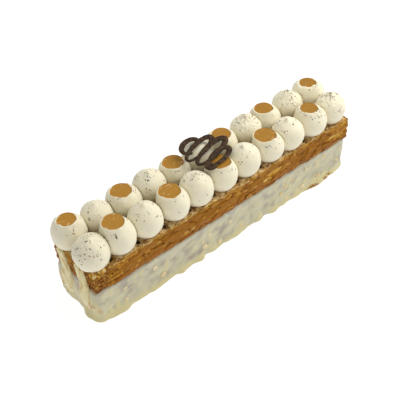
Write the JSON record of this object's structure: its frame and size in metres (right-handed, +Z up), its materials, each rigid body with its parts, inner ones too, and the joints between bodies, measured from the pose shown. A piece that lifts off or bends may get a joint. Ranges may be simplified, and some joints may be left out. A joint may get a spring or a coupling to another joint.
{
  "type": "mille feuille slice",
  "caption": "Long pastry bar: an ivory glazed block with chopped almonds, a slab of puff pastry, rows of piped cream domes with caramel, and a chocolate scroll.",
  "frame": {"origin": "bottom centre of the bar, on the surface that it stands on", "axes": "+X along the bar, away from the end that the glaze ran down; +Y from the front row of domes to the back row; +Z up"},
  "size_m": [0.3024, 0.0658, 0.0863],
  "materials": {
    "glaze": "ivory white chocolate glaze with chopped almonds, satin",
    "pastry": "caramelised flaky puff pastry",
    "cream": "piped vanilla cream, soft matt",
    "caramel": "glossy soft caramel",
    "chocolate": "dark chocolate, dull"
  },
  "bodies": {
    "root": {"glazed_block": "glaze", "pastry_slab": "pastry", "dome_front_01": "cream", "dome_front_02": "cream", "dome_front_03": "cream", "dome_front_04": "cream", "dome_front_05": "cream", "dome_front_06": "cream", "dome_front_07": "cream", "dome_front_08": "cream", "dome_front_09": "cream", "dome_front_10": "cream", "dome_front_11": "cream", "dome_back_01": "cream", "dome_back_02": "cream", "dome_back_03": "cream", "dome_back_04": "cream", "dome_back_05": "cream", "dome_back_06": "cream", "dome_back_07": "cream", "dome_back_08": "cream", "dome_back_09": "cream", "dome_back_10": "cream", "dome_back_11": "cream", "caramel_front_02": "caramel", "caramel_front_04": "caramel", "caramel_front_06": "caramel", "caramel_front_08": "caramel", "caramel_front_10": "caramel", "caramel_back_01": "caramel", "caramel_back_03": "caramel", "caramel_back_05": "caramel", "caramel_back_07": "caramel", "caramel_back_09": "caramel", "caramel_back_11": "caramel", "chocolate_scroll": "chocolate"}
  },
  "joints": []
}
